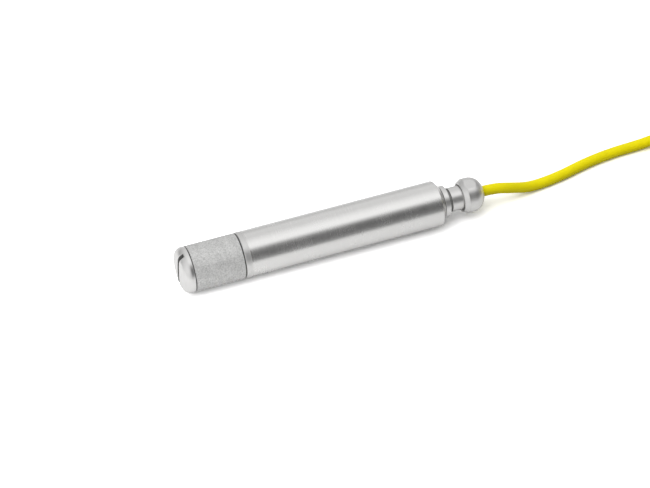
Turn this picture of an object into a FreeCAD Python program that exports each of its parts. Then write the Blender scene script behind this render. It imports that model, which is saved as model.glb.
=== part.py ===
"""Submersible water level sensor with its cable. FreeCAD 1.1 macro, millimetres.

The probe lies on the floor z = 0 with its axis along X at the height of the tube's radius: nose at
-X, cable at +X, origin under the middle of the metal body. Every turned piece is one Body whose
outline is drawn from its own front end, and each station along the axis is the sum of the lengths
ahead of it, so a changed length moves all that follows.
"""
import math
import os

import FreeCAD
import Part
import Sketcher

# Driving sizes: one plain number each, kept in the sheet under the same name
SIZES = {
    # Main body
    "nose_reach": 96.225,  # nose tip ahead of the origin, half of the metal length
    "tube_radius": 14.0,
    "tube_wall": 1.5,
    "tube_length": 123.35,
    "end_wall": 3.8,  # closed rear end of the tube
    "shoulder_length": 2.5,  # slope at the tube's rear edge
    "shoulder_radius": 10.9,
    # Nose cap
    "cap_length": 6.6,
    "cap_round": 5.0,
    "cap_dome_radius": 163.6,  # nearly flat face
    "slot_width": 2.6,
    "slot_depth": 3.7,
    "cap_turn": 4.5,  # where the screwed-in cap stops
    "pilot_gap": 0.3,  # rim that centres a gasket, inside its bore
    "pilot_length": 1.6,
    "stem_bore_radius": 2.75,
    "stem_bore_tip": 1.6,
    "stem_wall_front": 5.0,  # solid metal between the cap's seat and the tip of the bore
    "cross_hole_radius": 1.5,
    "cross_hole_start": 6.0,
    "cross_hole_pitch": 8.5,
    # Filter and its gaskets
    "gasket_thick": 0.7,
    "gasket_depth": 0.9,  # how deep the dark seams are
    "gasket_width": 3.1,
    "filter_length": 29.9,
    "filter_step": 0.15,
    "filter_wall": 3.85,
    # Front fitting with the cell's seat
    "collar_length": 3.7,
    "collar_bevel": 0.4,
    "thread_radius": 6.0,
    "thread_gap": 0.05,
    "thread_reach": 9.0,  # thread of the stem that is screwed in
    "thread_runout": 1.4,
    "spigot_length": 20.0,
    "fit_gap": 0.05,
    "chamber_radius": 6.8,
    "chamber_depth": 1.2,
    "cell_radius": 9.0,
    "cell_gap": 0.1,
    "diaphragm_thick": 0.35,
    "cell_length": 6.0,
    "ring_section": 0.75,
    "cell_ring_radius": 8.1,
    "retainer_radius": 10.2,
    "retainer_bore_radius": 7.0,
    "retainer_length": 3.0,
    "retainer_slot_width": 2.5,
    "retainer_slot_depth": 1.2,
    "pin_radius": 0.4,
    "pin_length": 3.0,
    "pin_pitch": 2.5,
    # Electronics
    "board_gap": 6.0,  # from the front fitting's end to the board
    "board_length": 60.0,
    "board_width": 20.0,
    "board_thick": 1.6,
    "clip_length": 4.0,
    "clip_gap": 0.1,
    "clip_bore_radius": 8.6,
    "clip_slack": 0.05,
    "chip_length": 8.0,
    "chip_width": 5.0,
    "chip_height": 1.5,
    "chip_place": 7.5,
    "chip_pitch": 9.5,
    "capacitor_radius": 2.5,
    "capacitor_height": 6.0,
    "capacitor_gap": 3.0,  # to the surge arresters
    "arrester_radius": 2.0,
    "arrester_length": 6.0,
    "arrester_gap": 3.0,  # to the terminal block
    "arrester_pitch": 6.0,
    "block_length": 7.0,
    "block_width": 10.0,
    "block_height": 6.5,
    "block_inset": 4.5,  # from the board's rear end
    "block_pitch": 3.2,
    "lead_length": 12.0,
    # Tail plug and its rings
    "plug_length": 14.0,
    "plug_ring_start": 2.6,
    "plug_ring_pitch": 5.0,
    "plug_groove_width": 2.4,
    "plug_groove_depth": 1.75,  # below the tube's bore
    "plug_ring_section": 0.87,
    "boss_radius": 9.65,
    "boss_gap": 0.1,
    "boss_reach": 3.95,  # band of the plug that shows behind the tube
    "boss_bevel": 0.35,
    "seam_width": 0.8,
    "seam_depth": 0.7,
    "neck_radius": 7.4,
    "neck_gap": 9.2,  # from the band to the gland nut
    "neck_relief_width": 2.1,
    "neck_relief_radius": 6.4,
    "neck_entry": 1.75,
    "neck_thread_radius": 6.95,
    "neck_thread_length": 5.3,
    "pocket_radius": 5.4,
    "pocket_depth": 9.5,
    "circlip_thick": 1.2,
    "circlip_play": 0.05,
    "circlip_groove": 0.6,
    "circlip_width": 2.15,
    "circlip_angle": 322.0,
    "lug_radius": 1.7,
    "lug_hole_radius": 0.8,
    "crimp_radius": 4.6,
    "crimp_length": 8.0,
    "crimp_seat_radius": 5.0,
    "crimp_seat_depth": 6.0,
    # Gland
    "nut_length": 14.35,
    "nut_front_radius": 9.0,
    "nut_cone_length": 2.8,
    "nut_cone_radius": 10.45,
    "nut_radius": 10.65,
    "nut_dome_start": 6.25,
    "nut_dome_radius": 8.2,
    "nut_end_radius": 4.3,
    "nut_mouth_radius": 7.9,
    "nut_mouth_depth": 1.9,
    "nut_floor": 7.55,
    "nut_hole_gap": 0.3,
    "nut_lip": 0.3,
    "nut_flat": 10.1,  # wrench flats, from the axis
    "nut_flat_turn": 6.0,
    "seal_gap": 0.1,
    "seal_bevel": 1.0,
    "washer_thick": 1.0,
    # Cable
    "cable_radius": 3.3,
    "grip_gap": 0.02,
    "cable_lead_in": 3.0,  # sheath ahead of the tail plug
    "cable_start": 3.85,  # how deep in the nut the free cable starts
    "core_radius": 0.8,
    "core_spread": 1.25,
    "vent_length": 7.0,
    "vent_gap": 0.2,  # under the board's level
    # Hank of the put-away cable, folded in line with the probe
    "hank_x": 250.0,  # middle of the folds at the near end
    "hank_y": -13.4,
    "hank_lift": 1.5,
    "hank_pitch": 6.7,
    "hank_columns": 2.0,
    "hank_layers": 6.0,
    "hank_fold_radius": 20.4,  # middle of the innermost turn
    "hank_run": 132.0,
    "hank_entry": 22.0,
    "sheath_end": 36.0,  # where the last, outer turn on top stops
    "core_end_length": 30.0,
    "ferrule_length": 6.0,
    "tie_width": 4.8,
    "tie_thick": 1.2,
    "tie_gap": 0.3,
    "tie_head": 6.5,
    "tie_tail": 5.0,
}

# Free cable from the gland nut along the floor to the hank: x, y, height of its middle
ROUTE = [
    (92.375, 0.0, 14.0),
    (103.8, 0.0, 14.0),
    (115.0, 0.5, 10.25),
    (130.5, 2.7, 3.35),
    (151.5, 5.3, 3.35),
    (171.5, 10.6, 3.35),
    (191.5, 13.3, 3.35),
    (209.5, 13.8, 3.35),
    (219.0, 13.7, 4.85),
    (228.0, 13.7, 4.85),
]
ARC_SHARE = 0.45  # share of the shorter run that each bend may use


class Size:
    """A length with the sheet expression that gives it, so one sum serves both the first
    drawing and the binding."""

    def __init__(self, text, value):
        self.text = text
        self.value = value

    def joined(self, other, sign, value):
        other_text = other.text if isinstance(other, Size) else str(other)
        return Size("(%s %s %s)" % (self.text, sign, other_text), value)

    def __add__(self, other):
        return self.joined(other, "+", self.value + plain(other))

    def __sub__(self, other):
        return self.joined(other, "-", self.value - plain(other))

    def __mul__(self, other):
        return self.joined(other, "*", self.value * plain(other))

    def __truediv__(self, other):
        return self.joined(other, "/", self.value / plain(other))

    def __neg__(self):
        return Size("(0 - %s)" % self.text, -self.value)


def plain(number):
    return number.value if isinstance(number, Size) else float(number)


class Sheet:
    """The document's spreadsheet: each size is an attribute of this object."""

    def __init__(self, doc, sizes):
        table = doc.addObject("Spreadsheet::Sheet", "Sizes")
        for row, (name, number) in enumerate(sizes.items(), start=1):
            table.set("A%d" % row, name)
            table.set("B%d" % row, str(number))
            table.setAlias("B%d" % row, name)
            setattr(self, name, Size("Sizes.%s" % name, float(number)))
        doc.recompute()


doc = FreeCAD.newDocument("water_level_sensor")
S = Sheet(doc, SIZES)
ZERO = Size("0", 0.0)

# Stations along the axis, each from the one ahead of it
NOSE = -S.nose_reach
CAP_SEAT = NOSE + S.cap_length
FILTER_FRONT = CAP_SEAT + S.gasket_thick
FILTER_BACK = FILTER_FRONT + S.filter_length
PORT_FACE = FILTER_BACK + S.gasket_thick
TUBE_FRONT = PORT_FACE + S.collar_length
PORT_END = TUBE_FRONT + S.spigot_length
TUBE_BACK = TUBE_FRONT + S.tube_length
BOSS_BACK = TUBE_BACK + S.boss_reach
NUT_FRONT = BOSS_BACK + S.neck_gap
NUT_BACK = NUT_FRONT + S.nut_length
PLUG_FRONT = TUBE_BACK - S.end_wall - S.plug_length
BOARD_FRONT = PORT_END + S.board_gap
BOARD_TOP = S.tube_radius + S.board_thick / 2
BLOCK_BACK = BOARD_FRONT + S.board_length - S.block_inset
TUBE_BORE = S.tube_radius - S.tube_wall
GASKET_OUTER = S.tube_radius - S.gasket_depth
GASKET_BORE = GASKET_OUTER - S.gasket_width
PILOT = GASKET_BORE - S.pilot_gap
PLUG_GROOVE = TUBE_BORE - S.plug_groove_depth
CABLE_HOLE = S.cable_radius + S.nut_hole_gap


# Drawing helpers

def bind(thing, prop, size):
    thing.setExpression(prop, size.text)


def new_body(label, x, y=ZERO, z=None, turn=None, spin=None):
    """A Body at a station of the axis; turn is an angle about X and spin one about Z."""
    body = doc.addObject("PartDesign::Body", label)
    body.Label = label
    if turn is not None:
        body.Placement.Rotation = FreeCAD.Rotation(FreeCAD.Vector(1, 0, 0), turn.value)
        bind(body, "Placement.Rotation.Angle", turn)
    if spin is not None:
        body.Placement.Rotation = FreeCAD.Rotation(FreeCAD.Vector(0, 0, 1), spin.value)
        bind(body, "Placement.Rotation.Angle", spin)
    bind(body, "Placement.Base.x", x)
    bind(body, "Placement.Base.y", y)
    bind(body, "Placement.Base.z", S.tube_radius if z is None else z)
    return body


def new_sketch(body, name, role):
    """A sketch on one of the body's own origin planes."""
    sketch = body.newObject("Sketcher::SketchObject", body.Label + "_" + name)
    plane = [f for f in body.Origin.OriginFeatures if f.Role == role][0]
    sketch.AttachmentSupport = (plane, [""])
    sketch.MapMode = "FlatFace"
    return sketch


def hold(sketch, kind, item, point, size):
    """Ties one coordinate of a point to its size; a zero one is held by the sketch axis."""
    axis = {"DistanceX": -2, "DistanceY": -1}[kind]
    if size.value == 0.0:
        sketch.addConstraint(Sketcher.Constraint("PointOnObject", item, point, axis))
        return
    number = sketch.addConstraint(
        Sketcher.Constraint(kind, -1, 1, item, point, size.value))
    bind(sketch, "Constraints[%d]" % number, size)


def arc_between(a, b, centre):
    """The clockwise arc from a to b; the sketch runs it the other way, from b to a."""
    radius = math.dist(a, centre)
    start = math.atan2(b[1] - centre[1], b[0] - centre[0])
    end = math.atan2(a[1] - centre[1], a[0] - centre[0])
    circle = Part.Circle(FreeCAD.Vector(centre[0], centre[1], 0), FreeCAD.Vector(0, 0, 1), radius)
    return Part.ArcOfCircle(circle, start, end if end > start else end + 2 * math.pi)


def dome_centre(a, b):
    """Centre on the sketch's X axis of the arc through a and b."""
    x = (b[0] ** 2 + b[1] ** 2 - a[0] ** 2 - a[1] ** 2) / (2 * (b[0] - a[0]))
    return (x, 0.0)


def round_centre(a, b, radius):
    """Centre of the bulging arc of that radius from a to b, on the side of the axis."""
    half = math.dist(a, b) / 2
    rise = math.sqrt(max(radius ** 2 - half ** 2, 0.0))
    along = ((b[0] - a[0]) / (2 * half), (b[1] - a[1]) / (2 * half))
    return ((a[0] + b[0]) / 2 + along[1] * rise, (a[1] + b[1]) / 2 - along[0] * rise)


def outline(sketch, corners):
    """Closed outline through corners (along, across). A third entry makes an arc of the side
    that follows: "dome" has its centre on the axis, "fold" is half a circle across the axis, and
    a size is the radius of a bulge."""
    spots = [(c[0].value, c[1].value) for c in corners]
    ends = []
    for i, corner in enumerate(corners):
        a = spots[i]
        b = spots[(i + 1) % len(spots)]
        form = corner[2] if len(corner) > 2 else None
        if form is None:
            side = Part.LineSegment(FreeCAD.Vector(*a, 0), FreeCAD.Vector(*b, 0))
        elif form == "dome":
            side = arc_between(a, b, dome_centre(a, b))
        elif form == "fold":
            side = arc_between(a, b, (a[0], 0.0))
        else:
            side = arc_between(a, b, round_centre(a, b, form.value))
        sketch.addGeometry(side, False)
        ends.append((1, 2) if form is None else (2, 1))
    for i, corner in enumerate(corners):
        after = (i + 1) % len(corners)
        sketch.addConstraint(
            Sketcher.Constraint("Coincident", i, ends[i][1], after, ends[after][0]))
        hold(sketch, "DistanceX", i, ends[i][0], corner[0])
        hold(sketch, "DistanceY", i, ends[i][0], corner[1])
        form = corner[2] if len(corner) > 2 else None
        if form == "dome":
            sketch.addConstraint(Sketcher.Constraint("PointOnObject", i, 3, -1))
        elif form == "fold":
            hold(sketch, "DistanceX", i, 3, corner[0])
        elif form is not None:
            number = sketch.addConstraint(Sketcher.Constraint("Radius", i, form.value))
            bind(sketch, "Constraints[%d]" % number, form)


def circles(sketch, spots, radius):
    """Circles of one radius at (across, up) spots of the sketch."""
    for across, up in spots:
        item = sketch.addGeometry(
            Part.Circle(FreeCAD.Vector(across.value, up.value, 0),
                        FreeCAD.Vector(0, 0, 1), radius.value), False)
        hold(sketch, "DistanceX", item, 3, across)
        hold(sketch, "DistanceY", item, 3, up)
        number = sketch.addConstraint(Sketcher.Constraint("Radius", item, radius.value))
        bind(sketch, "Constraints[%d]" % number, radius)


def rectangle(sketch, low, high):
    outline(sketch, [low, (high[0], low[1]), high, (low[0], high[1])])


def revolve(body, sketch, axis="H_Axis", angle=None, reverse=False):
    turn = body.newObject("PartDesign::Revolution", sketch.Name + "_turn")
    turn.Profile = sketch
    turn.ReferenceAxis = (sketch, [axis])
    turn.Angle = 360.0
    turn.Reversed = reverse
    if angle is not None:
        turn.Angle = angle.value
        bind(turn, "Angle", angle)
    return turn


def turned(label, x, corners, **place):
    """A piece turned on the lathe: its outline about the probe's axis."""
    body = new_body(label, x, **place)
    sketch = new_sketch(body, "outline", "XZ_Plane")
    outline(sketch, corners)
    revolve(body, sketch)
    return body


def cut(body, sketch, depth, both=False, reverse=False):
    """A pocket from the sketch: to both sides, or one way."""
    pocket = body.newObject("PartDesign::Pocket", sketch.Name + "_cut")
    pocket.Profile = sketch
    pocket.SideType = "Symmetric" if both else "One side"
    pocket.Reversed = reverse
    pocket.Length = depth.value
    bind(pocket, "Length", depth)
    return pocket


def raised(body, sketch, height, both=False, reverse=False):
    """A pad from the sketch: to both sides, or one way."""
    pad = body.newObject("PartDesign::Pad", sketch.Name + "_pad")
    pad.Profile = sketch
    pad.SideType = "Symmetric" if both else "One side"
    pad.Reversed = reverse
    pad.Length = height.value
    bind(pad, "Length", height)
    return pad


def rod(start, end, radius):
    """A straight round piece between two points of the part's frame."""
    a = FreeCAD.Vector(*[plain(v) for v in start])
    b = FreeCAD.Vector(*[plain(v) for v in end])
    return Part.makeCylinder(plain(radius), (b - a).Length, a, b - a)


def shaped(label, shape):
    piece = doc.addObject("Part::Feature", label)
    piece.Label = label
    piece.Shape = shape
    return piece


# Front end: slotted cap, filter between two gaskets, fitting with the pressure cell

def cap_round_ends():
    """Where the cap's round leaves the domed face (along, across) and reaches the side, so that
    it is tangent to both."""
    dome = S.cap_dome_radius
    middle = S.tube_radius - S.cap_round
    reach = Size("sqrt((%s - %s)^2 - %s^2)" % (dome.text, S.cap_round.text, middle.text),
                 math.sqrt((dome - S.cap_round).value ** 2 - middle.value ** 2))
    scale = dome / (dome - S.cap_round)
    return dome - reach * scale, middle * scale, dome - reach


def nose_cap():
    """Domed cap with a screwdriver slot; its hollow stem runs through the filter, lets the water
    in through cross holes and screws into the front fitting."""
    seat = S.cap_length
    stem = S.thread_radius - S.thread_gap
    back = seat + S.gasket_thick * 2 + S.filter_length + S.thread_reach
    tip = seat + S.stem_wall_front
    face, edge, side = cap_round_ends()
    body = turned("nose_cap", NOSE, [
        (ZERO, ZERO, "dome"),
        (face, edge, S.cap_round),
        (side, S.tube_radius),
        (seat, S.tube_radius),
        (seat, PILOT),
        (seat + S.pilot_length, PILOT),
        (seat + S.pilot_length, stem),
        (back - S.thread_gap * 12, stem),
        (back, stem - S.thread_gap * 12),
        (back, S.stem_bore_radius),
        (tip + S.stem_bore_tip, S.stem_bore_radius),
        (tip, ZERO),
    ], turn=S.cap_turn)
    slot = new_sketch(body, "slot", "YZ_Plane")
    half = S.slot_width / 2
    rectangle(slot, (-half, -S.tube_radius), (half, S.tube_radius))
    cut(body, slot, S.slot_depth, reverse=True)
    for role in ("XY_Plane", "XZ_Plane"):
        holes = new_sketch(body, "holes_" + role[:2], role)
        first = seat + S.cross_hole_start
        circles(holes, [(first + S.cross_hole_pitch * i, ZERO) for i in range(3)],
                S.cross_hole_radius)
        cut(body, holes, stem * 2 + 1, both=True)


def gasket(label, x):
    """Flat ring in a seam, sunk below the outer face."""
    turned(label, x, [
        (ZERO, GASKET_BORE), (ZERO, GASKET_OUTER),
        (S.gasket_thick, GASKET_OUTER), (S.gasket_thick, GASKET_BORE)])


def filter_sleeve():
    """Sintered tube that keeps silt away from the cell."""
    outer = S.tube_radius - S.filter_step
    bore = outer - S.filter_wall
    edge = S.filter_step
    turned("filter_sleeve", FILTER_FRONT, [
        (ZERO, bore), (ZERO, outer - edge), (edge, outer),
        (S.filter_length - edge, outer), (S.filter_length, outer - edge),
        (S.filter_length, bore)])


def cell_seat():
    """Where the cell's front face lies, counted from the front fitting's face."""
    return S.thread_reach + S.thread_runout + S.chamber_depth + S.ring_section * 2


def pressure_port():
    """Front fitting: matte collar, spigot in the tube, threaded port and the cell's seat."""
    pilot = S.pilot_length
    spigot = TUBE_BORE - S.fit_gap
    back = pilot + S.collar_length + S.spigot_length
    chamber = pilot + S.thread_reach + S.thread_runout
    floor = chamber + S.chamber_depth
    thread = pilot + cell_seat() + S.diaphragm_thick + S.cell_length - S.cell_gap * 4
    turned("pressure_port", PORT_FACE - S.pilot_length, [
        (ZERO, S.thread_radius),
        (ZERO, PILOT),
        (pilot, PILOT),
        (pilot, S.tube_radius - S.collar_bevel),
        (pilot + S.collar_bevel, S.tube_radius),
        (pilot + S.collar_length, S.tube_radius),
        (pilot + S.collar_length, spigot),
        (back, spigot),
        (back, S.retainer_radius + S.fit_gap),
        (thread, S.retainer_radius + S.fit_gap),
        (thread, S.cell_radius + S.cell_gap),
        (floor, S.cell_radius + S.cell_gap),
        (floor, S.chamber_radius),
        (chamber, S.chamber_radius),
        (chamber, S.thread_radius),
    ])


def pressure_cell():
    """Ceramic cell: thin diaphragm in front, pinned base behind, on its own ring seal."""
    face = PORT_FACE + cell_seat()
    ring = new_body("cell_o_ring", face - S.ring_section)
    section = new_sketch(ring, "section", "XZ_Plane")
    circles(section, [(ZERO, S.cell_ring_radius)], S.ring_section)
    revolve(ring, section)
    turned("cell_diaphragm", face, [
        (ZERO, ZERO), (ZERO, S.cell_radius),
        (S.diaphragm_thick, S.cell_radius), (S.diaphragm_thick, ZERO)])
    base = turned("pressure_cell", face + S.diaphragm_thick, [
        (ZERO, ZERO), (ZERO, S.cell_radius),
        (S.cell_length, S.cell_radius), (S.cell_length, ZERO)])
    pins = new_sketch(base, "pins", "YZ_Plane")
    circles(pins, pin_spots(), S.pin_radius)
    raised(base, pins, S.cell_length + S.pin_length)
    retainer = turned("cell_retainer", face + S.diaphragm_thick + S.cell_length, [
        (ZERO, S.retainer_bore_radius), (ZERO, S.retainer_radius),
        (S.retainer_length, S.retainer_radius), (S.retainer_length, S.retainer_bore_radius)])
    slots = new_sketch(retainer, "slots", "XY_Plane")
    half = S.retainer_slot_width / 2
    rectangle(slots, (S.retainer_length - S.retainer_slot_depth, -half),
              (S.retainer_length, half))
    cut(retainer, slots, S.retainer_radius * 2 + 1, both=True)


def pin_spots():
    """Four pins in a row, just above the board's face."""
    height = S.board_thick / 2 + S.pin_radius
    return [(S.pin_pitch * (i - 1.5), height) for i in range(4)]


# Housing and tail

def body_tube():
    """Thick-ended tube: bored from the front, with a lip behind that carries the tail plug."""
    lip = S.boss_radius + S.boss_gap
    end = S.tube_length - S.end_wall
    groove = end - S.plug_length - S.circlip_thick - S.circlip_play * 2
    turned("body_tube", TUBE_FRONT, [
        (ZERO, TUBE_BORE),
        (ZERO, S.tube_radius),
        (S.tube_length - S.shoulder_length, S.tube_radius),
        (S.tube_length, S.shoulder_radius),
        (S.tube_length, lip),
        (end, lip),
        (end, TUBE_BORE),
        (groove + S.circlip_thick + S.circlip_play * 2, TUBE_BORE),
        (groove + S.circlip_thick + S.circlip_play * 2, TUBE_BORE + S.circlip_groove),
        (groove, TUBE_BORE + S.circlip_groove),
        (groove, TUBE_BORE),
    ])


def tail_plug():
    """Plug with two ring seals, the band and neck that show behind the tube, and the threaded
    end with the pocket of the cable seal."""
    outer = TUBE_BORE - S.fit_gap
    tube_end = S.plug_length + S.end_wall
    band = tube_end + S.boss_reach
    nut = band + S.neck_gap
    tip = nut + S.neck_entry + S.neck_thread_length
    grooves = []
    for i in range(2):
        start = S.plug_ring_start + S.plug_ring_pitch * i
        grooves += [(start, outer), (start, PLUG_GROOVE),
                    (start + S.plug_groove_width, PLUG_GROOVE),
                    (start + S.plug_groove_width, outer)]
    turned("tail_plug", PLUG_FRONT, [
        (ZERO, S.crimp_seat_radius),
        (ZERO, outer - S.boss_bevel),
        (S.boss_bevel, outer),
        *grooves,
        (S.plug_length, outer),
        (S.plug_length, S.boss_radius),
        (tube_end, S.boss_radius),
        (tube_end, S.boss_radius - S.seam_depth),
        (tube_end + S.seam_width, S.boss_radius - S.seam_depth),
        (tube_end + S.seam_width, S.boss_radius),
        (band - S.boss_bevel, S.boss_radius),
        (band, S.boss_radius - S.boss_bevel),
        (band, S.neck_relief_radius),
        (band + S.neck_relief_width, S.neck_relief_radius),
        (band + S.neck_relief_width, S.neck_radius),
        (nut + S.neck_entry, S.neck_radius),
        (nut + S.neck_entry, S.neck_thread_radius),
        (tip, S.neck_thread_radius),
        (tip, S.pocket_radius),
        (tip - S.pocket_depth, S.pocket_radius),
        (tip - S.pocket_depth, CABLE_HOLE),
        (S.crimp_seat_depth, CABLE_HOLE),
        (S.crimp_seat_depth, S.crimp_seat_radius),
    ])
    rings = new_body("plug_o_rings", PLUG_FRONT)
    section = new_sketch(rings, "section", "XZ_Plane")
    middle = S.plug_ring_start + S.plug_groove_width / 2
    circles(section, [(middle + S.plug_ring_pitch * i, PLUG_GROOVE + S.plug_ring_section)
                      for i in range(2)], S.plug_ring_section)
    revolve(rings, section)


def retaining_ring():
    """Open spring ring that holds the plug against the end wall, with two plier holes."""
    front = PLUG_FRONT - S.circlip_thick - S.circlip_play
    outer = TUBE_BORE + S.circlip_groove - S.fit_gap
    bore = outer - S.circlip_width
    gap = Size("((360 - Sizes.circlip_angle) / 2)", (360 - S.circlip_angle.value) / 2)
    body = new_body("retaining_ring", front, turn=gap)
    section = new_sketch(body, "section", "XZ_Plane")
    rectangle(section, (ZERO, bore), (S.circlip_thick, outer))
    revolve(body, section, angle=S.circlip_angle, reverse=True)
    lug_height = bore - S.lug_radius / 4
    for name, turn in (("near", 0.0), ("far", S.circlip_angle.value)):
        angle = math.radians(turn)
        spot = (Size("(%s * sin(%s deg))" % (lug_height.text, round(turn, 6)),
                     lug_height.value * math.sin(angle)),
                Size("(%s * cos(%s deg))" % (lug_height.text, round(turn, 6)),
                     lug_height.value * math.cos(angle)))
        lug = new_sketch(body, "lug_" + name, "YZ_Plane")
        circles(lug, [spot], S.lug_radius)
        raised(body, lug, S.circlip_thick)
        hole = new_sketch(body, "hole_" + name, "YZ_Plane")
        circles(hole, [spot], S.lug_hole_radius)
        cut(body, hole, S.circlip_thick, reverse=True)


# Gland

def gland():
    """Rubber seal and washer in the plug's pocket, pressed by the domed nut."""
    tip = NUT_FRONT + S.neck_entry + S.neck_thread_length
    seal_length = S.pocket_depth - S.washer_thick / 2
    seal_x = tip - S.pocket_depth
    outer = S.pocket_radius - S.seal_gap
    grip = S.cable_radius + S.grip_gap
    turned("gland_seal", seal_x, [
        (ZERO, grip), (ZERO, outer - S.seal_bevel), (S.seal_bevel, outer),
        (seal_length - S.seal_bevel, outer), (seal_length, outer - S.seal_bevel),
        (seal_length, grip)])
    turned("gland_washer", seal_x + seal_length, [
        (ZERO, CABLE_HOLE), (ZERO, outer), (S.washer_thick, outer),
        (S.washer_thick, CABLE_HOLE)])
    nut = turned("gland_nut", NUT_FRONT, [
        (ZERO, S.nut_mouth_radius),
        (ZERO, S.nut_front_radius),
        (S.nut_cone_length, S.nut_cone_radius),
        (S.nut_cone_length, S.nut_radius),
        (S.nut_dome_start, S.nut_radius, S.nut_dome_radius),
        (S.nut_length, S.nut_end_radius),
        (S.nut_length, CABLE_HOLE + S.nut_lip),
        (S.nut_length - S.nut_lip, CABLE_HOLE),
        (S.nut_floor, CABLE_HOLE),
        (S.nut_floor, S.neck_thread_radius + S.thread_gap),
        (S.nut_mouth_depth, S.neck_thread_radius + S.thread_gap),
        (S.nut_mouth_depth, S.nut_mouth_radius),
    ], turn=S.nut_flat_turn)
    for name, side in (("top", 1), ("bottom", -1)):
        flat = new_sketch(nut, "flat_" + name, "YZ_Plane")
        near = S.nut_flat * side
        far = S.nut_radius * side * 1.5
        low, high = (near, far) if side > 0 else (far, near)
        rectangle(flat, (-S.nut_radius, low), (S.nut_radius, high))
        cut(nut, flat, S.nut_length, reverse=True)


# Electronics inside the tube

def board_clip(label, x):
    """Plastic ring that centres the board in the bore, with a notch for each edge."""
    body = turned(label, x, [
        (ZERO, S.clip_bore_radius), (ZERO, TUBE_BORE - S.clip_gap),
        (S.clip_length, TUBE_BORE - S.clip_gap), (S.clip_length, S.clip_bore_radius)])
    notch = new_sketch(body, "notch", "YZ_Plane")
    half_width = S.board_width / 2 + S.clip_slack
    half_thick = S.board_thick / 2 + S.clip_slack
    rectangle(notch, (-half_width, -half_thick), (half_width, half_thick))
    cut(body, notch, S.clip_length, reverse=True)


def boxed(label, x, across, z, length, width, height):
    """A plain block: x, the middle across the board, and its underside."""
    box = doc.addObject("Part::Box", label)
    box.Label = label
    bind(box, "Length", length)
    bind(box, "Width", width)
    bind(box, "Height", height)
    bind(box, "Placement.Base.x", x)
    bind(box, "Placement.Base.y", across - width / 2)
    bind(box, "Placement.Base.z", z)
    return box


def electronics():
    """Board with its chips, capacitor, surge arresters, terminal block and cell leads."""
    boxed("circuit_board", BOARD_FRONT, ZERO, S.tube_radius - S.board_thick / 2,
          S.board_length, S.board_width, S.board_thick)
    board_clip("front_board_clip", BOARD_FRONT)
    board_clip("rear_board_clip", BOARD_FRONT + S.board_length - S.clip_length)
    chips = new_body("signal_chips", BOARD_FRONT + S.chip_place, z=BOARD_TOP)
    for i in range(2):
        chip = new_sketch(chips, "chip_%d" % i, "XY_Plane")
        start = S.chip_pitch * i
        rectangle(chip, (start, -S.chip_width / 2), (start + S.chip_length, S.chip_width / 2))
        raised(chips, chip, S.chip_height)
    block_front = BLOCK_BACK - S.block_length
    arrester_front = block_front - S.arrester_gap - S.arrester_length
    capacitor = new_body("buffer_capacitor",
                         arrester_front - S.capacitor_gap - S.capacitor_radius, z=BOARD_TOP)
    can = new_sketch(capacitor, "can", "XY_Plane")
    circles(can, [(ZERO, ZERO)], S.capacitor_radius)
    raised(capacitor, can, S.capacitor_height)
    arresters = new_body("surge_arresters", arrester_front, z=BOARD_TOP + S.arrester_radius)
    barrel = new_sketch(arresters, "barrel", "YZ_Plane")
    circles(barrel, [(-S.arrester_pitch / 2, ZERO), (S.arrester_pitch / 2, ZERO)],
            S.arrester_radius)
    raised(arresters, barrel, S.arrester_length)
    block = new_body("terminal_block", block_front, z=BOARD_TOP)
    case = new_sketch(block, "case", "XY_Plane")
    rectangle(case, (ZERO, -S.block_width / 2), (S.block_length, S.block_width / 2))
    raised(block, case, S.block_height)
    screws = new_sketch(block, "screws", "XY_Plane")
    circles(screws, [(S.block_length / 2, S.block_pitch * (i - 1)) for i in range(3)],
            S.core_radius * 1.5)
    raised(block, screws, S.block_height + S.core_radius)
    leads = new_body("cell_leads", cell_pins_end())
    wire = new_sketch(leads, "wire", "YZ_Plane")
    circles(wire, pin_spots(), S.pin_radius)
    raised(leads, wire, S.lead_length)


def cell_pins_end():
    return PORT_FACE + cell_seat() + S.diaphragm_thick + S.cell_length + S.pin_length


# Cable

def sheath_front():
    return PLUG_FRONT - S.cable_lead_in


def cable_inside():
    """The cable's straight end in the plug, its crimped sleeve, its cores and breather tube."""
    start = sheath_front()
    inner = new_body("cable_inner", start)
    section = new_sketch(inner, "section", "YZ_Plane")
    circles(section, [(ZERO, ZERO)], S.cable_radius)
    raised(inner, section, NUT_BACK - S.cable_start - start)
    grip = S.cable_radius + S.grip_gap
    front = S.crimp_length - S.crimp_seat_depth
    turned("crimp_sleeve", PLUG_FRONT - front, [
        (ZERO, grip), (ZERO, S.crimp_radius),
        (S.crimp_length, S.crimp_radius), (S.crimp_length, grip)])
    height = BOARD_TOP + S.block_height / 2
    cores = []
    for i in range(3):
        angle = math.radians(90 * (i - 1))
        begin = FreeCAD.Vector(start.value, S.core_spread.value * math.sin(angle),
                               S.tube_radius.value + S.core_spread.value * math.cos(angle))
        end = FreeCAD.Vector(BLOCK_BACK.value, S.block_pitch.value * (i - 1), height.value)
        over = (begin - end).normalize() * 2
        cores.append(rod(begin + over, end - over, S.core_radius))
    side = TUBE_BORE.value * 2
    between = Part.makeBox((start - BLOCK_BACK).value, side, side,
                           FreeCAD.Vector(BLOCK_BACK.value, -side / 2, 0))
    shaped("cable_cores", Part.makeCompound([core.common(between) for core in cores]))
    vent_z = S.tube_radius - S.board_thick / 2 - S.vent_gap - S.core_radius
    shaped("vent_tube", rod((start, 0, vent_z), (start - S.vent_length, 0, vent_z),
                            S.core_radius))


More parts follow.
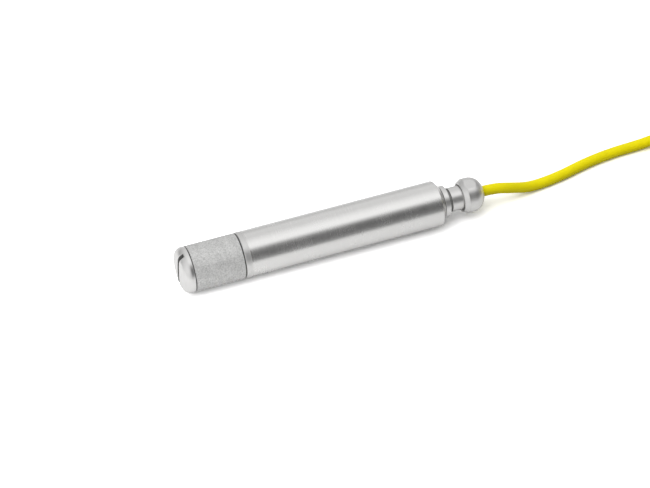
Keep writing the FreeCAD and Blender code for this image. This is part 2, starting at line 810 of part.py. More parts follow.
def route_wire(points):
    """Straight runs joined by tangent arcs; also gives the radii and the whole length."""
    spots = [FreeCAD.Vector(*p) for p in points]
    edges = []
    radii = []
    last = spots[0]
    for before, here, after in zip(spots, spots[1:], spots[2:]):
        inward = (here - before).normalize()
        outward = (after - here).normalize()
        half = inward.getAngle(outward) / 2
        cut_back = ARC_SHARE * min((here - before).Length, (after - here).Length)
        radius = cut_back / math.tan(half)
        start = here - inward * cut_back
        end = here + outward * cut_back
        middle = here + (outward - inward).normalize() * radius * (1 / math.cos(half) - 1)
        edges.append(Part.LineSegment(last, start).toShape())
        edges.append(Part.Arc(start, middle, end).toShape())
        radii.append(radius)
        last = end
    edges.append(Part.LineSegment(last, spots[-1]).toShape())
    return Part.Wire(edges), radii, sum(e.Length for e in edges)


def free_cable():
    """The stretch from the nut along the floor to the hank."""
    path, radii, length = route_wire(ROUTE)
    start = FreeCAD.Vector(*ROUTE[0])
    direction = FreeCAD.Vector(*ROUTE[1]) - start
    ring = Part.Wire([Part.makeCircle(S.cable_radius.value, start, direction)])
    tube = path.makePipeShell([ring], True, True)
    volume = math.pi * S.cable_radius.value ** 2 * length
    print("cable: bend radii", [round(r, 1) for r in radii], "length", round(length, 1),
          "volume ratio", round(tube.Volume / volume, 5))
    shaped("cable", tube)


def hank_bend(column):
    """Radius of a column's middle at the folds; column 0 is the outermost."""
    return S.hank_fold_radius + S.hank_pitch * (S.hank_columns - 1 - column)


def racetrack(sketch, radius):
    """Two straight runs joined by two half-round folds."""
    run = S.hank_run
    outline(sketch, [
        (ZERO, radius), (run, radius, "fold"), (run, -radius), (ZERO, -radius, "fold")])


def cable_hank():
    """Outer shape of the folded rest of the cable; its last turn, outside on top, stops short."""
    body = new_body("cable_hank", S.hank_x, y=S.hank_y, z=S.hank_lift)
    half = S.hank_pitch / 2
    step = hank_bend(0) - half
    beyond = hank_bend(0) + S.hank_pitch
    top = S.hank_pitch * S.hank_layers
    whole = new_sketch(body, "whole", "XY_Plane")
    racetrack(whole, hank_bend(0) + half)
    raised(body, whole, top)
    middle = new_sketch(body, "middle", "XY_Plane")
    racetrack(middle, S.hank_fold_radius - half)
    cut(body, middle, top, reverse=True)
    empty = new_sketch(body, "empty_place", "XY_Plane")
    bind(empty, "AttachmentOffset.Base.z", top)
    outline(empty, [
        (S.sheath_end, -step), (ZERO, -step, "fold"), (ZERO, step), (ZERO, beyond),
        (-beyond, beyond), (-beyond, -beyond), (S.sheath_end, -beyond)])
    cut(body, empty, S.hank_pitch)
    entry = new_sketch(body, "entry", "YZ_Plane")
    circles(entry, [(hank_bend(0), half)], S.cable_radius)
    raised(body, entry, S.hank_entry, reverse=True)


def core_spots():
    """The three cores and the breather tube in the hank's empty top place."""
    middle = -hank_bend(0)
    height = S.hank_pitch * (S.hank_layers - 0.5)
    spread = S.core_spread
    return [(middle, height + spread), (middle + spread, height), (middle, height - spread),
            (middle - spread, height)]


def cable_end():
    """Stripped end on the hank: three cores with crimped ferrules, and the breather tube."""
    cores = new_body("core_ends", S.hank_x + S.sheath_end, y=S.hank_y, z=S.hank_lift)
    section = new_sketch(cores, "section", "YZ_Plane")
    circles(section, core_spots(), S.core_radius)
    raised(cores, section, S.core_end_length, reverse=True)
    tips = S.hank_x + S.sheath_end - S.core_end_length
    ferrules = new_body("core_ferrules", tips, y=S.hank_y, z=S.hank_lift)
    section = new_sketch(ferrules, "section", "YZ_Plane")
    circles(section, core_spots()[:3], S.core_radius * 0.9)
    raised(ferrules, section, S.ferrule_length, reverse=True)


def hank_tie(label, side):
    """Plastic strap round one side of the hank, with its locking head on top."""
    body = new_body(label, S.hank_x + S.hank_run / 2, y=S.hank_y, z=S.hank_lift)
    half = S.hank_pitch / 2
    inner = (S.hank_fold_radius - half - S.tie_gap) * side
    outer = (hank_bend(0) + half + S.tie_gap) * side
    top = S.hank_pitch * S.hank_layers + S.tie_gap
    thick = S.tie_thick
    beyond = S.tie_thick * side
    band = new_sketch(body, "band", "YZ_Plane")
    outline(band, [
        (inner - beyond, -S.tie_gap), (inner - beyond, top), (inner, top + thick),
        (outer, top + thick), (outer + beyond, top), (outer + beyond, -S.tie_gap),
        (outer, -S.tie_gap - thick), (inner, -S.tie_gap - thick)])
    raised(body, band, S.tie_width, both=True)
    hole = new_sketch(body, "hole", "YZ_Plane")
    rectangle(hole, (inner, -S.tie_gap), (outer, top))
    cut(body, hole, S.tie_width + 1, both=True)
    middle = (inner + outer) / 2
    head = new_sketch(body, "head", "YZ_Plane")
    rectangle(head, (middle - S.tie_head / 2, top + thick / 2),
              (middle + S.tie_head / 2, top + thick * 3.5))
    raised(body, head, S.tie_width + thick, both=True)
    tail = new_sketch(body, "tail", "YZ_Plane")
    rectangle(tail, (middle, top + thick * 2),
              (middle + (S.tie_head / 2 + S.tie_tail) * side, top + thick * 3))
    raised(body, tail, S.tie_width - thick, both=True)


nose_cap()
gasket("front_gasket", CAP_SEAT)
filter_sleeve()
gasket("rear_gasket", FILTER_BACK)
pressure_port()
pressure_cell()
body_tube()
electronics()
retaining_ring()
tail_plug()
gland()
cable_inside()
free_cable()
cable_hank()
cable_end()
hank_tie("near_hank_tie", -1.0)
hank_tie("far_hank_tie", 1.0)
doc.recompute()

# Every object must be sound before its file is written
faults = [o.Label for o in doc.Objects if {"Invalid", "Error"} & set(o.State)]
if faults:
    raise RuntimeError("these objects did not build: " + ", ".join(faults))
pieces = [o for o in doc.Objects
          if o.TypeId in ("PartDesign::Body", "Part::Feature", "Part::Box")]
os.makedirs("parts", exist_ok=True)
for piece in pieces:
    shape = piece.Shape
    if not shape.isValid() or shape.Volume <= 0 or not shape.Solids:
        raise RuntimeError(piece.Label + " has no sound solid")
    shape.exportStep("parts/%s.step" % piece.Label)
    box = shape.optimalBoundingBox(False)
    print("%-18s solids %d volume %9.1f  x %7.2f %7.2f  y %6.2f %6.2f  z %6.2f %6.2f" % (
        piece.Label, len(shape.Solids), shape.Volume, box.XMin, box.XMax, box.YMin, box.YMax,
        box.ZMin, box.ZMax))
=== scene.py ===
"""Looks of a submersible water level sensor and its cable: Blender 4.5, metres.

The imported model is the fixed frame, and each section finishes one piece in the order in which the
probe is put together, from the nose to the cable. The floor, the lights and the camera come last.
"""

import math

import bmesh
import bpy
from mathutils import Matrix, Vector


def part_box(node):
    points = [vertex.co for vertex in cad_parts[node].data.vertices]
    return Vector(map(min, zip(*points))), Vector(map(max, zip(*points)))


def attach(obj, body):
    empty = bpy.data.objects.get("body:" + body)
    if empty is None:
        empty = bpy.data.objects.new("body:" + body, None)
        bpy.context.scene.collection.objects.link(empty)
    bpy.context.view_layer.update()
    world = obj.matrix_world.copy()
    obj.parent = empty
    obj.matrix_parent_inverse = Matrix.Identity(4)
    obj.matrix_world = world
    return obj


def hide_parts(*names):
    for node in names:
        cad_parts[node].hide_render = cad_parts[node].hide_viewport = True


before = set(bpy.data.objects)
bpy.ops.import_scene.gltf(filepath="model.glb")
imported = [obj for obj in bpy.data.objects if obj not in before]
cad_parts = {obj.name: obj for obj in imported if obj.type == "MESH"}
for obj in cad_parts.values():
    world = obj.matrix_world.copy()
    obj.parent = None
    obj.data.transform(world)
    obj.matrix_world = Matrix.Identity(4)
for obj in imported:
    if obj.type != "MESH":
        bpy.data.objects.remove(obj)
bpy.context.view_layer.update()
for leftover in [o for o in bpy.data.objects if o.type in ("LIGHT", "CAMERA")]:
    bpy.data.objects.remove(leftover)


# Nose cap
# A solid stainless cap turned on a lathe, with a nearly flat domed face and a screwdriver slot
# milled right across it. Its hollow stem runs through the filter and screws into the fitting.

MM = 0.001
TUBE_RADIUS = 14.0
AXIS_Z = TUBE_RADIUS  # the probe lies on the floor


def rounded(corners):
    """Breaks each (along, radius, edge) corner of an outline with a small round of that size."""
    points = []
    for i, (x, r, edge) in enumerate(corners):
        here = Vector((x, r))
        if not edge:
            points.append(here)
            continue
        before = Vector(corners[i - 1][:2]) - here
        after = Vector(corners[(i + 1) % len(corners)][:2]) - here
        size = min(edge, before.length * 0.4, after.length * 0.4)
        start, end = here + before.normalized() * size, here + after.normalized() * size
        if before.length > size * 3:
            points.append(here + before.normalized() * size * 1.6)
        for step in range(5):
            t = step / 4
            points.append(start * (1 - t) ** 2 + here * 2 * t * (1 - t) + end * t ** 2)
        if after.length > size * 3:
            points.append(here + after.normalized() * size * 1.6)
    return points


def lathe(outline, steps):
    """A closed outline of (along, radius) points in mm, turned about the probe's axis."""
    bm = bmesh.new()
    rings = []
    for x, r in outline:
        if r < 1e-6:
            rings.append([bm.verts.new((x * MM, 0, AXIS_Z * MM))])
            continue
        rings.append([
            bm.verts.new((x * MM, r * MM * math.sin(a), (AXIS_Z + r * math.cos(a)) * MM))
            for a in (math.tau * k / steps for k in range(steps))])
    for i, near in enumerate(rings):
        far = rings[(i + 1) % len(rings)]
        if len(near) == 1 and len(far) == 1:
            continue
        for k in range(steps):
            n = (k + 1) % steps
            corners = [near[k % len(near)], near[n % len(near)],
                       far[n % len(far)], far[k % len(far)]]
            bm.faces.new(list(dict.fromkeys(corners)))
    bmesh.ops.recalc_face_normals(bm, faces=bm.faces)
    return bm


def turned(node, corners, steps):
    """A piece turned from (along, radius, edge) corners, counted in mm from its node's front."""
    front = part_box(node)[0].x / MM
    return lathe(rounded([(front + x, r, edge) for x, r, edge in corners]), steps)


def cut(bm, place, normal, geometry=None):
    """New edges where a plane crosses the mesh."""
    bmesh.ops.bisect_plane(bm, geom=geometry or bm.verts[:] + bm.edges[:] + bm.faces[:],
                           dist=1e-7, plane_co=place, plane_no=normal)


def finished(name, bm, finish, body, sharp=32, replaces=()):
    """The shaded object of a mesh, riding on its body in place of its CAD nodes."""
    mesh = bpy.data.meshes.new(name)
    bm.to_mesh(mesh)
    bm.free()
    for face in mesh.polygons:
        face.use_smooth = True
    mesh.set_sharp_from_angle(angle=math.radians(sharp))
    piece = bpy.data.objects.new(name, mesh)
    bpy.context.scene.collection.objects.link(piece)
    mesh.materials.append(finish)
    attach(piece, body)
    if replaces:
        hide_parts(*replaces)
    return piece


class Maths:
    """A socket in a node tree, so that its maths can be written as sums."""

    def __init__(self, nodes, socket):
        self.nodes = nodes
        self.socket = socket

    def output(self, name):
        """Another output of the same node."""
        return Maths(self.nodes, self.socket.node.outputs[name])

    def to(self, operation, other=0.5):
        """Any other operation of a Math node, with this value first."""
        return self.nodes.maths(operation, self, other)

    def __add__(self, other):
        return self.to("ADD", other)

    def __sub__(self, other):
        return self.to("SUBTRACT", other)

    def __rsub__(self, other):
        return self.nodes.maths("SUBTRACT", other, self)

    def __mul__(self, other):
        return self.to("MULTIPLY", other)

    def __truediv__(self, other):
        return self.to("DIVIDE", other)

    def __rtruediv__(self, other):
        return self.nodes.maths("DIVIDE", other, self)

    __radd__ = __add__
    __rmul__ = __mul__


class Nodes:
    """A node tree, and the one way in which its nodes are made."""

    def __init__(self, tree):
        self.tree = tree

    def node(self, kind, settings=None, values=None, output=0):
        """Any node: its settings first, then the values or links of its inputs."""
        node = self.tree.nodes.new(kind)
        for key, value in (settings or {}).items():
            if key != "stops":
                setattr(node, key, value)
                continue
            ramp = node.color_ramp
            while len(ramp.elements) < len(value):
                ramp.elements.new(1)
            for stop, (place, colour) in zip(ramp.elements, value):
                stop.position = place
                stop.color = (*colour, 1) if hasattr(colour, "__len__") else (colour,) * 3 + (1,)
        for key, value in (values or {}).items():
            self.link(value, node.inputs[key])
        return Maths(self, node.outputs[output]) if node.outputs else node

    def link(self, value, socket):
        if isinstance(value, Maths):
            self.tree.links.new(value.socket, socket)
        elif hasattr(value, "__len__") and len(value) == 3 and socket.type == "RGBA":
            socket.default_value = (*value, 1)
        else:
            socket.default_value = value

    def maths(self, operation, first, second):
        return self.node("ShaderNodeMath", {"operation": operation}, {0: first, 1: second})

    def vector(self, x=0.0, y=0.0, z=0.0):
        return self.node("ShaderNodeCombineXYZ", values={0: x, 1: y, 2: z})

    def split(self, vector):
        """The x, y and z of a vector."""
        x = self.node("ShaderNodeSeparateXYZ", values={0: vector})
        return x, x.output("Y"), x.output("Z")

    def spread(self, value, low, high, start=0.3, end=0.7):
        """Brings a noise of about start to end into the range low to high."""
        return self.node("ShaderNodeMapRange", {"clamp": True}, {
            "Value": value, "From Min": start, "From Max": end, "To Min": low, "To Max": high})

    def blend(self, factor, first, second):
        return self.node("ShaderNodeMix", {"data_type": "RGBA"},
                         {0: factor, 6: first, 7: second}, output=2)


class Finish(Nodes):
    """The nodes of one material."""

    def __init__(self, name, colour=(0.8, 0.8, 0.8), roughness=0.5, metallic=0.0, **constants):
        self.material = bpy.data.materials.new(name)
        self.material.use_nodes = True
        super().__init__(self.material.node_tree)
        self.shader = self.tree.nodes["Principled BSDF"]
        self.shader.inputs["Base Color"].default_value = (*colour, 1)
        self.shader.inputs["Roughness"].default_value = roughness
        self.shader.inputs["Metallic"].default_value = metallic
        for socket, value in constants.items():
            self.shader.inputs[socket.replace("_", " ")].default_value = value

    def feed(self, socket, value):
        self.link(value, self.shader.inputs[socket])

    def place(self, scale=(1, 1, 1)):
        """Object coordinates in mm from the probe's axis, times a scale."""
        spot = self.node("ShaderNodeTexCoord", output="Object")
        size = [s / MM for s in scale]
        return self.node("ShaderNodeMapping", {"vector_type": "POINT"},
                         {"Vector": spot, "Scale": size,
                          "Location": (0, 0, -AXIS_Z * MM * size[2])})

    def around(self, along, turn):
        """Coordinates that follow the lathe: mm along the axis and radians round it, scaled."""
        x, y, z = self.split(self.place())
        angle = y.to("ARCTAN2", z)
        # sine and cosine, so that the pattern closes round the back
        return self.vector(x * along, angle.to("SINE") * turn, angle.to("COSINE") * turn)

    def noise(self, where, scale=1.0, detail=2.0, roughness=0.5):
        return self.node("ShaderNodeTexNoise", values={
            "Vector": where, "Scale": scale, "Detail": detail, "Roughness": roughness})

    def bump(self, height, strength, depth):
        """Depth in mm."""
        self.feed("Normal", self.node("ShaderNodeBump", values={
            "Height": height, "Strength": strength, "Distance": depth * MM}))


class Shape(Nodes):
    """Geometry nodes that shape a piece, with its sizes in metres as named inputs."""

    def __init__(self, name, *sizes):
        super().__init__(bpy.data.node_groups.new(name, "GeometryNodeTree"))
        sockets = self.tree.interface
        sockets.new_socket("Geometry", in_out="OUTPUT", socket_type="NodeSocketGeometry")
        sockets.new_socket("Geometry", in_out="INPUT", socket_type="NodeSocketGeometry")
        sockets.new_socket("Material", in_out="INPUT", socket_type="NodeSocketMaterial")
        for size in sizes:
            sockets.new_socket(size, in_out="INPUT", socket_type="NodeSocketFloat")
        self.given = self.node("NodeGroupInput", output="Geometry")

    def size(self, name):
        return self.given.output(name)

    def ends(self, shape):
        """Ends the tree with plain geometry and its material."""
        whole = self.node("GeometryNodeRealizeInstances", values={0: shape})
        self.node("NodeGroupOutput", values={0: self.node("GeometryNodeSetMaterial", values={
            "Geometry": whole, "Material": self.given.output("Material")})})

    def mesh(self, material, sizes, start=None):
        """The plain mesh that the tree makes, from a starting mesh where it needs one."""
        holder = bpy.data.objects.new(self.tree.name, start or bpy.data.meshes.new("start"))
        bpy.context.scene.collection.objects.link(holder)
        modifier = holder.modifiers.new("shape", "NODES")
        modifier.node_group = self.tree
        sizes = {**sizes, "Material": material}
        for item in self.tree.interface.items_tree:
            if item.in_out == "INPUT" and item.name in sizes:
                modifier[item.identifier] = sizes[item.name]
        made = bpy.data.meshes.new_from_object(
            holder.evaluated_get(bpy.context.evaluated_depsgraph_get()))
        holder.modifiers.remove(modifier)
        bpy.data.objects.remove(holder)
        return made


def ground_steel(name, colour, roughness, line_pitch=0.35, line_depth=0.004):
    """Stainless steel with the fine round lines of the lathe or the grinding wheel."""
    steel = Finish(name, colour, roughness, metallic=1.0)
    lines = steel.noise(steel.around(1 / line_pitch, 0.5), detail=3)
    cloud = steel.noise(steel.place((0.06, 0.15, 0.15)), detail=3, roughness=0.6)
    tone = steel.spread(lines, 0.0, 0.5) + steel.spread(cloud, 0.0, 0.5)
    darker = tuple(c * 0.93 for c in colour)
    steel.feed("Base Color", steel.blend(tone, darker, colour))
    steel.feed("Roughness", steel.spread(lines, roughness - 0.01, roughness + 0.02)
               + steel.spread(cloud, -0.025, 0.025))
    steel.bump(lines, 0.3, line_depth)
    return steel.material


def plain(name, colour, darker, roughness, scale, metallic=0.0):
    """A moulded, coated or plated finish with a faint cloudiness and a fine grain."""
    finish = Finish(name, colour, roughness, metallic)
    spots = finish.noise(finish.place(), scale=scale, detail=4, roughness=0.6)
    finish.feed("Base Color", finish.blend(finish.spread(spots, 0.0, 1.0), darker, colour))
    finish.feed("Roughness", finish.spread(spots, roughness - 0.06, roughness + 0.06))
    return finish.material


STEEL = (0.80, 0.795, 0.785)
cap_steel = ground_steel("cap steel", STEEL, 0.34, line_pitch=0.3, line_depth=0.002)

cap_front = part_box("nose_cap")[0].x / MM
CAP_LENGTH, CAP_ROUND, DOME = 6.6, 5.0, 163.6
PILOT_RADIUS, PILOT_LENGTH = 9.7, 1.6  # rim that centres a gasket
GASKET, FILTER_LENGTH = 0.7, 29.9
STEM_RADIUS, STEM_BORE = 5.95, 2.75
THREAD_REACH, THREAD_LENGTH, THREAD_DEPTH, PITCH = 9.0, 12.0, 0.82, 1.5
THREAD_FADE = 1.5
RING_STEP = 0.15  # between the rings of points that shape the thread

# dome and round, tangent to each other
middle_r = TUBE_RADIUS - CAP_ROUND
round_x = DOME - math.sqrt((DOME - CAP_ROUND) ** 2 - middle_r ** 2)
dome_edge = middle_r * DOME / (DOME - CAP_ROUND)
start_angle = math.atan2(dome_edge, math.sqrt(DOME ** 2 - dome_edge ** 2))
face = [(0.0, 0.0)]
for i in range(1, 9):
    r = dome_edge * i / 8
    face.append((DOME - math.sqrt(DOME ** 2 - r ** 2), r))
for i in range(1, 15):
    a = start_angle + (math.pi / 2 - start_angle) * i / 14
    face.append((round_x - CAP_ROUND * math.cos(a), middle_r + CAP_ROUND * math.sin(a)))

# behind the seat: the rim that centres the gasket, the stem and its threaded end
stem_end = CAP_LENGTH + 2 * GASKET + FILTER_LENGTH + THREAD_REACH
back = rounded([
    (CAP_LENGTH, TUBE_RADIUS, 0.12), (CAP_LENGTH, PILOT_RADIUS, 0),
    (CAP_LENGTH + PILOT_LENGTH, PILOT_RADIUS, 0.2), (CAP_LENGTH + PILOT_LENGTH, STEM_RADIUS, 0)])
thread_start = stem_end - THREAD_LENGTH
thread_rings = [(thread_start + RING_STEP * i, STEM_RADIUS)
                for i in range(int(THREAD_LENGTH / RING_STEP) + 1)]
tip = rounded([(stem_end, 5.2, 0.15), (stem_end, STEM_BORE, 0.15), (13.2, STEM_BORE, 0),
               (11.6, 0.0, 0)])
outline = [(cap_front + x, r) for x, r in face + [tuple(p) for p in back] + thread_rings
           + [tuple(p) for p in tip]]
cap = lathe(outline, 144)

# the thread: the stem sinks in where the turn stands between two crests, fading in at its start
thread = Shape("stem thread", "Start", "Pitch", "Depth", "Fade")
x, y, z = thread.split(thread.node("GeometryNodeInputPosition"))
z = z - AXIS_Z * MM
along = x - thread.size("Start")
phase = (along / thread.size("Pitch") + y.to("ARCTAN2", z) / math.tau).to("FRACT")
radius = (y * y + z * z).to("SQRT")
sunk = ((phase - 0.5).to("ABSOLUTE") * 2.3).to("MINIMUM", 1.0) * thread.size("Depth")
sunk = sunk * (along / thread.size("Fade")).to("MAXIMUM", 0.0).to("MINIMUM", 1.0)
on_thread = along.to("GREATER_THAN", 0.0) * radius.to("GREATER_THAN", (STEM_RADIUS - 0.05) * MM)
share = 1 - sunk * on_thread / radius
thread.ends(thread.node("GeometryNodeSetPosition", values={
    "Geometry": thread.given,
    "Position": thread.vector(x, y * share, z * share + AXIS_Z * MM)}))
plain_cap = bpy.data.meshes.new("plain cap")
cap.to_mesh(plain_cap)
cap.clear()
cap.from_mesh(thread.mesh(cap_steel, {
    "Start": (cap_front + thread_start + 4 * RING_STEP) * MM, "Pitch": PITCH * MM,
    "Depth": THREAD_DEPTH * MM, "Fade": THREAD_FADE * MM}, plain_cap))

# the slot: cut the shell along both walls, take out what lies between, then line it
HALF_SLOT, SLOT_DEPTH = 1.3, 3.7
LIP = ((1.5, 0.0), (1.41, 0.02), (1.34, 0.08), (HALF_SLOT, 0.18))  # across, sunk by
slot_floor = cap_front + SLOT_DEPTH


def in_slot(face, depth):
    """Whether a face of the shell lies between the walls and ahead of a depth."""
    middle = face.calc_center_median()
    return abs(middle.y) < (HALF_SLOT - 1e-4) * MM and middle.x < depth * MM


for across, _ in LIP:
    for side in (1, -1):
        cut(cap, (0, side * across * MM, 0), (0, 1, 0))
strip = [f for f in cap.faces if in_slot(f, slot_floor + 2)]
cut(cap, (slot_floor * MM, 0, 0), (1, 0, 0),
    list(dict.fromkeys([v for f in strip for v in f.verts] + [e for f in strip for e in f.edges]))
    + strip)
bmesh.ops.delete(cap, context="FACES", geom=[
    f for f in cap.faces if in_slot(f, slot_floor - 1e-5)])
open_edges = [e for e in cap.edges if len(e.link_faces) == 1]
floor_corners = {}
for e in open_edges:
    for v in e.verts:
        if v not in floor_corners:
            on_floor = abs(v.co.x - slot_floor * MM) < 2e-7
            floor_corners[v] = v if on_floor else cap.verts.new(
                (slot_floor * MM, math.copysign(HALF_SLOT * MM, v.co.y), v.co.z))
walls = []
for e in open_edges:
    a, b = e.verts
    ring = list(dict.fromkeys([a, b, floor_corners[b], floor_corners[a]]))
    if len(ring) > 2:
        walls.append(cap.faces.new(ring))
# the slot's floor, up along one wall, over the top and down along the other
rim = floor_corners.values()
at_ends = [v for v in rim if abs(v.co.y) < (HALF_SLOT - 1e-3) * MM]
at_walls = [v for v in rim if v not in at_ends]
walls.append(cap.faces.new(
    sorted((v for v in at_walls if v.co.y < 0), key=lambda v: v.co.z)
    + sorted((v for v in at_ends if v.co.z > AXIS_Z * MM), key=lambda v: v.co.y)
    + sorted((v for v in at_walls if v.co.y > 0), key=lambda v: -v.co.z)
    + sorted((v for v in at_ends if v.co.z < AXIS_Z * MM), key=lambda v: -v.co.y)))
# the slot's walls and floor take the second material, which paints shade into the slot
for wall in walls:
    wall.material_index = 1
# the lip is a little rounded: sink its edge below the outer surface
for v in cap.verts:
    x, y = v.co.x / MM - cap_front, v.co.y / MM
    z = v.co.z / MM - AXIS_Z
    r = math.hypot(y, z)
    outside = x < round_x + 0.01 and (r > dome_edge - 0.01 or abs(
        x - DOME + math.sqrt(DOME ** 2 - r ** 2)) < 0.02)
    if not outside or v.co.x > (slot_floor - 0.02) * MM:
        continue
    for across, sunk in LIP:
        if abs(abs(y) - across) < 1e-4 and sunk:
            if r < dome_edge:
                normal = Vector((-1, 0, 0))
            else:
                normal = Vector((x - round_x, y * (1 - middle_r / r), z * (1 - middle_r / r)))
                normal.normalize()
            v.co -= normal * sunk * MM
bmesh.ops.recalc_face_normals(cap, faces=cap.faces)
# the thread stops with the slot a little off upright
CAP_TURN = math.radians(4.5)
bmesh.ops.rotate(cap, verts=cap.verts, cent=(0, 0, AXIS_Z * MM),
                 matrix=Matrix.Rotation(CAP_TURN, 3, "X"))
nose = finished("nose_cap_turned", cap, cap_steel, "cap", sharp=30,
                replaces=["nose_cap"])
# painted shade: the slot's walls and floor are painted dark, darkest towards the lower end
milled = Finish("milled slot", roughness=0.5, metallic=0.3)
_, _, height = milled.split(milled.place())
less_painted_shade = milled.spread(height, 0.0, 0.8, -4.0, 7.0) + milled.spread(
    milled.noise(milled.place(), scale=2.0, detail=3), 0.0, 0.2)
milled.feed("Base Color", milled.blend(less_painted_shade, (0.03, 0.03, 0.029), (0.2, 0.2, 0.198)))
nose.data.materials.append(milled.material)


# Gaskets at both ends of the filter
# Flat black rubber rings, a little smaller than the metal round them, so that each shows only as
# a thin dark line. The front one comes off with the filter, the rear one stays on the fitting.

gasket_rubber = Finish("gasket rubber", (0.09, 0.09, 0.092), 0.75)
gasket_rubber.feed("Roughness", gasket_rubber.spread(
    gasket_rubber.noise(gasket_rubber.place((1.5, 1.5, 1.5)), detail=4), 0.65, 0.85))

SEAT_BORE, GASKET_RADIUS = 10.0, 13.3
ring = [(0, SEAT_BORE, 0), (0, GASKET_RADIUS, 0.15), (GASKET, GASKET_RADIUS, 0.15),
        (GASKET, SEAT_BORE, 0)]
for node, body in (("front_gasket", "filter_pack"), ("rear_gasket", "housing")):
    finished(node + "_ring", turned(node, ring, 128), gasket_rubber.material, body,
             replaces=[node])


# Filter sleeve
# A tube of sintered stainless grains, pressed and baked, so it is matte and speckled all over.
# Its edges are broken by hand.

sinter = Finish("sintered steel", (0.6, 0.6, 0.59), 0.65, metallic=0.8)
grain = sinter.node("ShaderNodeTexVoronoi", {"feature": "SMOOTH_F1"}, {
    "Vector": sinter.place(), "Scale": 1.9, "Smoothness": 0.4, "Randomness": 1.0})
fine = sinter.noise(sinter.place(), scale=1.1, detail=5, roughness=0.65)
cloud = sinter.noise(sinter.place(), scale=0.22, detail=3, roughness=0.6)
pores = sinter.spread(fine, 0.0, 1.0, 0.3, 0.68)
tone = sinter.spread(cloud, 0.0, 0.3) + pores * 0.7
sinter.feed("Base Color", sinter.blend(tone, (0.47, 0.47, 0.465), (0.84, 0.84, 0.83)))
sinter.feed("Roughness", sinter.spread(fine, 0.74, 0.58))
sinter.bump(fine + grain * 0.6, 0.5, 0.12)

FILTER_RADIUS = 13.85
sleeve = [(0, SEAT_BORE, 0.1), (0, FILTER_RADIUS, 0.2), (FILTER_LENGTH, FILTER_RADIUS, 0.2),
          (FILTER_LENGTH, SEAT_BORE, 0.1)]
finished("filter_sleeve_sintered", turned("filter_sleeve", sleeve, 160), sinter.material,
         "filter_pack", replaces=["filter_sleeve"])


# Front fitting
# Stainless fitting welded into the tube: only its collar shows, which is left as it came from
# the lathe, so it is duller than the tube. The cap screws into it, and the cell sits behind.

collar_steel = ground_steel("collar steel", (0.76, 0.755, 0.745), 0.42, 0.22, 0.003)
TUBE_BORE, FIT = 12.5, 0.05
fitting = [
    (0, 6.0, 0.1), (0, PILOT_RADIUS, 0.2), (PILOT_LENGTH, PILOT_RADIUS, 0),  # rim in the gasket
    (PILOT_LENGTH, TUBE_RADIUS, 0.4), (5.3, TUBE_RADIUS, 0.03),  # collar
    (5.3, TUBE_BORE - FIT, 0), (25.3, TUBE_BORE - FIT, 0.2),  # spigot in the tube
    (25.3, 10.25, 0.1), (20.25, 10.25, 0),  # the retainer's thread
    (20.25, 9.1, 0), (13.2, 9.1, 0),  # the cell's seat
    (13.2, 6.8, 0), (12.0, 6.8, 0), (12.0, 6.0, 0)]  # water chamber and the stem's thread
finished("pressure_port_turned", turned("pressure_port", fitting, 160), collar_steel, "housing",
         replaces=["pressure_port"])


# Pressure cell
# A white alumina cell with a thin diaphragm in front, sealed by a rubber ring and held by a
# threaded steel ring. Its pins are nickel-plated and run to the board.

ceramic = Finish("alumina", (0.82, 0.81, 0.78), 0.45)
ceramic.feed("Base Color", ceramic.blend(
    ceramic.noise(ceramic.place(), scale=0.8, detail=3), (0.78, 0.77, 0.73), (0.86, 0.85, 0.82)))
ring_rubber = Finish("ring rubber", (0.02, 0.02, 0.021), 0.5)
ring_rubber.feed("Roughness", ring_rubber.spread(
    ring_rubber.noise(ring_rubber.place(), scale=1.2, detail=3), 0.42, 0.6))
inner_steel = ground_steel("inner steel", (0.70, 0.69, 0.68), 0.36)


def dress(finish, *nodes):
    """The finish of CAD pieces that keep their own shape."""
    for node in nodes:
        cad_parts[node].data.materials[0] = finish


dress(ceramic.material, "cell_diaphragm", "pressure_cell")
dress(ring_rubber.material, "cell_o_ring", "plug_o_rings", "gland_seal")
dress(inner_steel, "cell_retainer", "retaining_ring", "gland_washer", "crimp_sleeve")


# Body tube
# A thick stainless tube, ground smooth after the fitting was welded in, with a sloped rear edge.
# A groove inside its rear end takes the spring ring that holds the tail plug.

tube_steel = ground_steel("tube steel", STEEL, 0.25, line_pitch=0.45, line_depth=0.0008)
TUBE_LENGTH, BAND_RADIUS = 123.35, 9.65
END_WALL = TUBE_LENGTH - 3.8
tube = [
    (0, TUBE_BORE, 0), (0, TUBE_RADIUS, 0.03), (TUBE_LENGTH - 2.5, TUBE_RADIUS, 0.12),
    (TUBE_LENGTH, 10.9, 0.08), (TUBE_LENGTH, BAND_RADIUS + 0.1, 0),  # slope and the band's hole
    (END_WALL, BAND_RADIUS + 0.1, 0), (END_WALL, TUBE_BORE, 0), (END_WALL - 14.0, TUBE_BORE, 0),
    (END_WALL - 14.0, 13.1, 0), (END_WALL - 15.3, 13.1, 0), (END_WALL - 15.3, TUBE_BORE, 0)]
finished("body_tube_ground", turned("body_tube", tube, 192), tube_steel, "housing",
         replaces=["body_tube"])


# Electronics
# A green glass-fibre board with black signal chips, an aluminium capacitor, ceramic surge
# arresters and a screw terminal block. Two natural nylon rings centre it in the tube.

